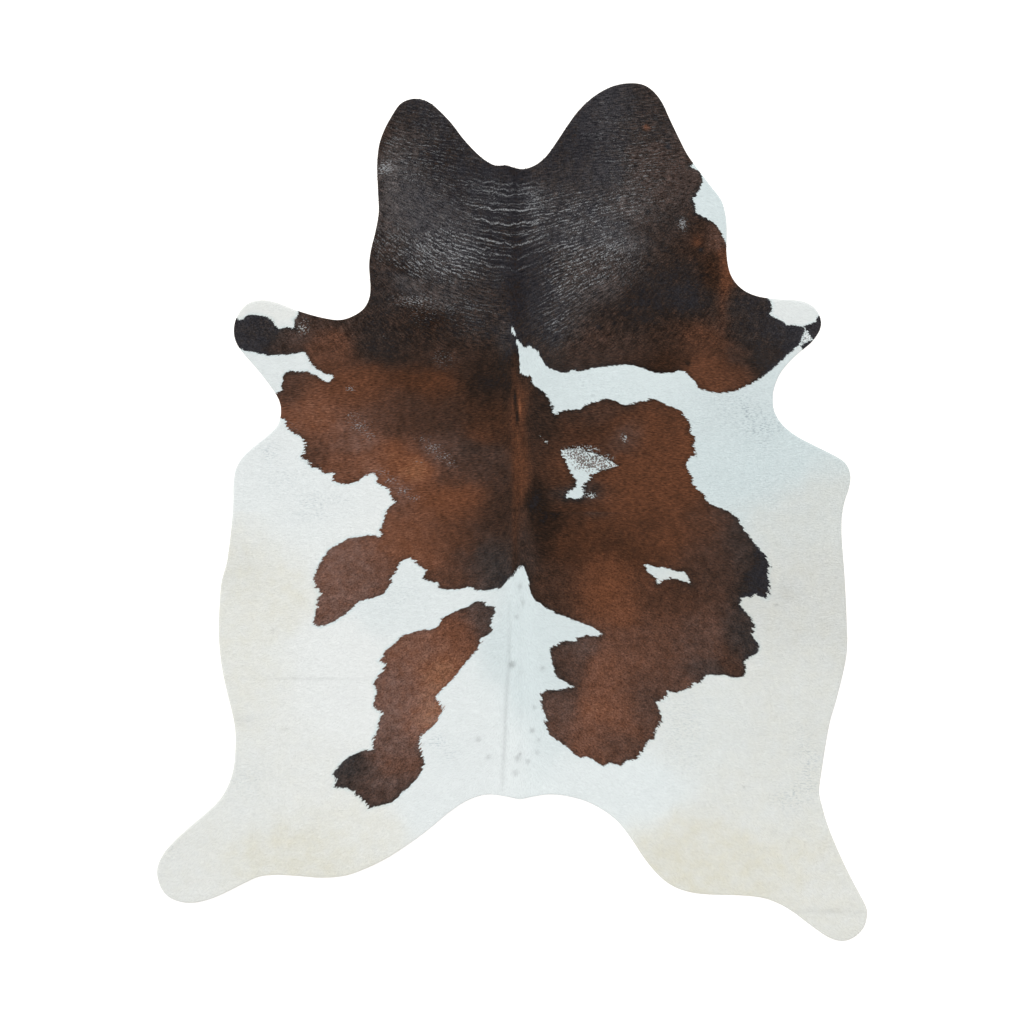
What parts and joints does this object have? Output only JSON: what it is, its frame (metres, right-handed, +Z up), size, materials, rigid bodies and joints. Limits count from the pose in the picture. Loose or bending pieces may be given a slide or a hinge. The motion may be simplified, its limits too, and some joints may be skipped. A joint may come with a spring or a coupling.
{
  "type": "cowhide rug",
  "caption": "Whole cowhide rug lying flat with its hair up: brown and white patches on the natural outline of a skin, with neck, legs and tail end.",
  "frame": {"origin": "on the floor under the middle of the hide's own box", "axes": "+Y towards the neck, +X to the right of the hide as seen from above, +Z up from the suede underside to the hair"},
  "size_m": [1.7756, 2.1438, 0.0073],
  "materials": {
    "hair": "short lying cow hair with a soft sheen, dark and red brown with white patches",
    "leather": "matte suede flesh side and cut edge of the tanned skin"
  },
  "bodies": {
    "root": {"hide": "hair"}
  },
  "joints": []
}
